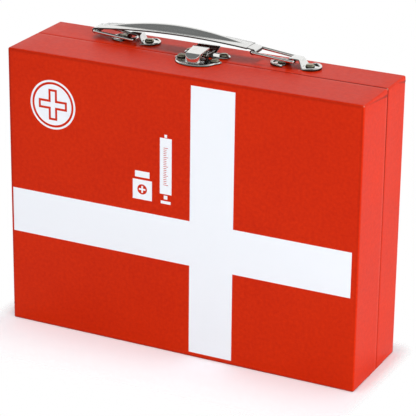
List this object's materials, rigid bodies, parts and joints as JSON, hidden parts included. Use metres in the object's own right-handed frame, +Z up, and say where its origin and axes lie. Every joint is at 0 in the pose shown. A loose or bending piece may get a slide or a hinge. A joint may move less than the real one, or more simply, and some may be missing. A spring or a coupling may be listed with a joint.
{
  "type": "toy doctor case",
  "caption": "Small stiff suitcase of wrapped board for a toy medical kit, with a hinged lid, a draw latch and a swinging carry handle.",
  "frame": {"origin": "middle of the case's footprint, on the surface that it stands on", "axes": "+X along the width, +Y from the printed lid to the base's back, +Z up to the handle"},
  "size_m": [0.265, 0.072, 0.2189],
  "materials": {
    "greyboard": "raw recycled board",
    "printed_paper": "laminated red printed paper, satin",
    "red_paper": "laminated red paper, satin",
    "red_cloth": "book cloth in the case's red",
    "lining_paper": "plain uncoated white paper",
    "lining_tape": "gummed paper tape",
    "bright_plating": "bright nickel plate on pressed steel",
    "strap_plating": "satin nickel plate",
    "rivet_metal": "dull antiqued rivet",
    "washer_steel": "plain steel washer"
  },
  "bodies": {
    "base": {"base_board": "greyboard", "base_wrap": "red_paper", "base_lining": "lining_paper", "base_spine_strip": "red_cloth", "hinge_tape_base": "lining_tape", "inner_lip": "greyboard", "handle_plate_left": "bright_plating", "handle_plate_right": "bright_plating", "handle_rivets": "rivet_metal", "handle_washers": "washer_steel", "strike_plate": "bright_plating", "strike_rivets": "rivet_metal", "strike_washers": "washer_steel"},
    "lid": {"lid_board": "greyboard", "lid_wrap": "printed_paper", "lid_lining": "lining_paper", "lid_spine_strip": "red_cloth", "hinge_tape_lid": "lining_tape", "latch_base_plate": "bright_plating", "latch_rivets": "rivet_metal", "latch_washers": "washer_steel", "lever_pin": "rivet_metal"},
    "lever": {"latch_lever": "bright_plating", "loop_pin": "rivet_metal"},
    "loop": {"latch_loop": "bright_plating"},
    "link_left_body": {"link_left": "bright_plating"},
    "link_right_body": {"link_right": "bright_plating"},
    "strap_body": {"handle_strap": "strap_plating"}
  },
  "joints": [
    {"name": "lid_hinge", "type": "hinge", "parent": "base", "child": "lid", "pos_m": [0, 0.004, 0], "axis": [1, 0, 0], "range_deg": [0, 170]},
    {"name": "latch_lever_hinge", "type": "hinge", "parent": "lid", "child": "lever", "pos_m": [-0.004, 0.0034, 0.2073], "axis": [-1, 0, 0], "range_deg": [0, 110]},
    {"name": "latch_loop_hinge", "type": "hinge", "parent": "lever", "child": "loop", "pos_m": [-0.004, 0.00015, 0.20673], "axis": [-1, 0, 0], "range_deg": [-95, 0]},
    {"name": "link_left_hinge", "type": "hinge", "parent": "base", "child": "link_left_body", "pos_m": [-0.0623, 0.0203, 0.2048], "axis": [0, 1, 0], "range_deg": [0, 170]},
    {"name": "link_right_hinge", "type": "hinge", "parent": "base", "child": "link_right_body", "pos_m": [0.0595, 0.0203, 0.20705], "axis": [0, 1, 0], "range_deg": [0, 170]},
    {"name": "strap_hinge", "type": "hinge", "parent": "link_left_body", "child": "strap_body", "pos_m": [-0.09219, 0.0203, 0.20741], "axis": [0, 1, 0], "range_deg": [-170, 0]}
  ],
  "couplings": [
    {"joint": "latch_loop_hinge", "follows": "latch_lever_hinge", "ratio": -0.85},
    {"joint": "link_right_hinge", "follows": "link_left_hinge", "ratio": 1},
    {"joint": "strap_hinge", "follows": "link_left_hinge", "ratio": -1}
  ]
}
